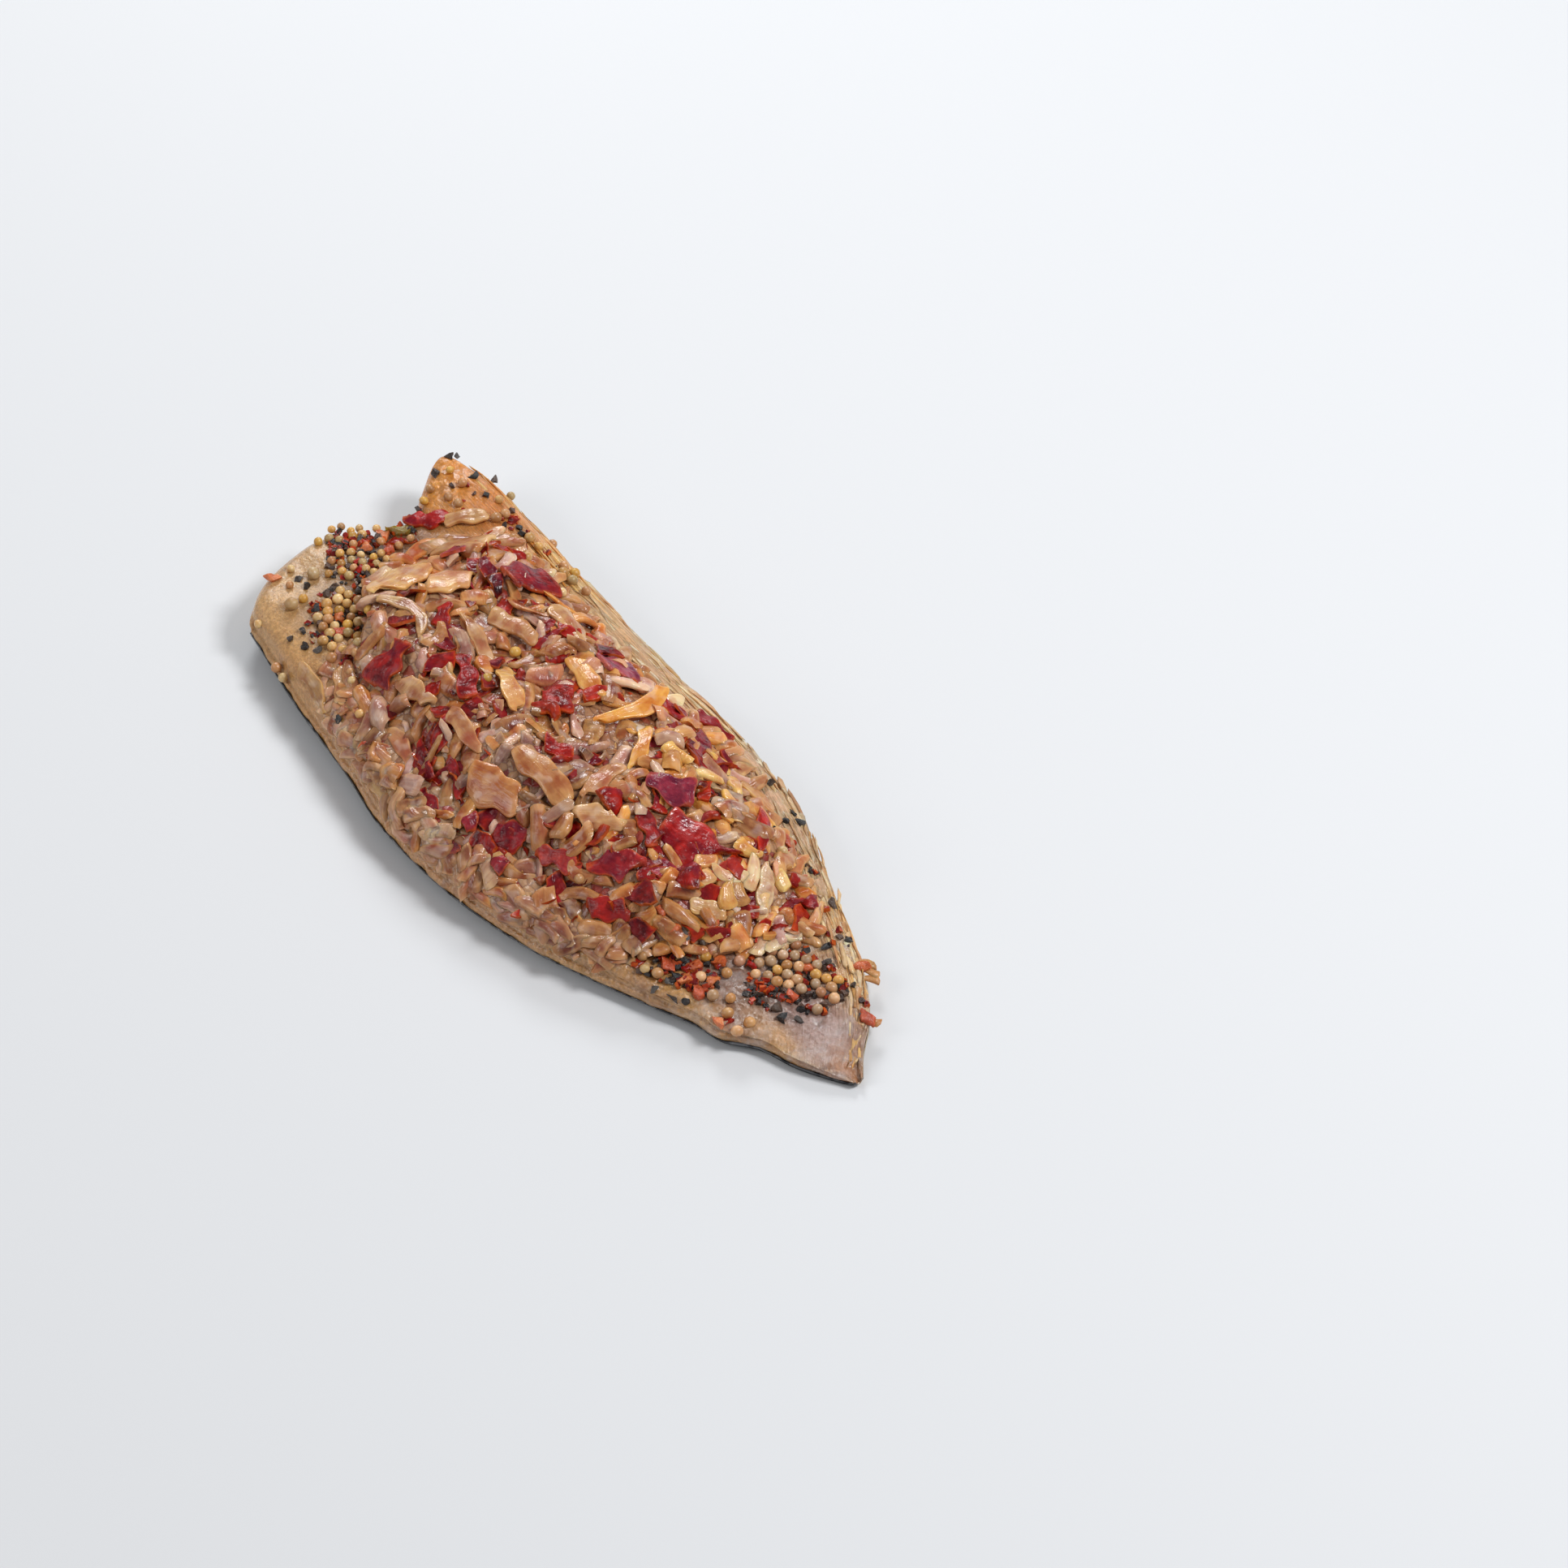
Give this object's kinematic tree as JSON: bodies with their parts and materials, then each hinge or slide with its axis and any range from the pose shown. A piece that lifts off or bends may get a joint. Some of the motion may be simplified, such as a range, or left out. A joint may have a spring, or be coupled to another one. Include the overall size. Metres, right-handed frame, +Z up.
{
  "type": "smoked mackerel fillet",
  "caption": "Smoked fish fillet lying skin side down, broad notched head end tapering to a cut tail, topped with a heap of onion and red pepper relish and whole spices.",
  "frame": {"origin": "centre of the bounding box in plan, at the plane the skin side rests on", "axes": "+X along the fillet from the head end to the tail, +Y across it from the back edge to the belly edge, +Z up, with the relish on top"},
  "size_m": [0.201, 0.0792, 0.0256],
  "materials": {
    "fish": "moist smoked flesh, satin",
    "relish": "wet cooked relish, glossy",
    "onion": "translucent cooked onion, glossy",
    "pepper": "wrinkled red pepper, glossy"
  },
  "bodies": {
    "root": {"fillet": "fish", "relish": "relish", "onion_petal_a": "onion", "onion_petal_b": "onion", "onion_head_a": "onion", "onion_head_b": "onion", "onion_head_c": "onion", "onion_hook": "onion", "onion_ridge": "onion", "onion_arc": "onion", "onion_slice": "onion", "onion_long": "onion", "onion_mid_a": "onion", "onion_mid_b": "onion", "onion_mid_c": "onion", "onion_mid_d": "onion", "onion_tail_a": "onion", "onion_tail_b": "onion", "onion_back_a": "onion", "onion_back_b": "onion", "onion_back_c": "onion", "onion_back_d": "onion", "onion_back_e": "onion", "onion_back_f": "onion", "onion_back_g": "onion", "onion_back_h": "onion", "onion_back_i": "onion", "onion_back_j": "onion", "onion_back_k": "onion", "onion_belly_a": "onion", "onion_belly_b": "onion", "pepper_head": "pepper", "pepper_crimson": "pepper", "pepper_red_a": "pepper", "pepper_red_b": "pepper", "pepper_red_c": "pepper", "pepper_dark_a": "pepper", "pepper_pink": "pepper", "pepper_strip_a": "pepper", "pepper_strip_b": "pepper", "pepper_chunk": "pepper", "pepper_red_d": "pepper", "pepper_red_e": "pepper", "pepper_red_f": "pepper", "pepper_big": "pepper", "pepper_purple": "pepper", "pepper_dark_b": "pepper", "pepper_dark_c": "pepper", "pepper_edge": "pepper", "pepper_orange": "pepper", "pepper_tail": "pepper"}
  },
  "joints": []
}
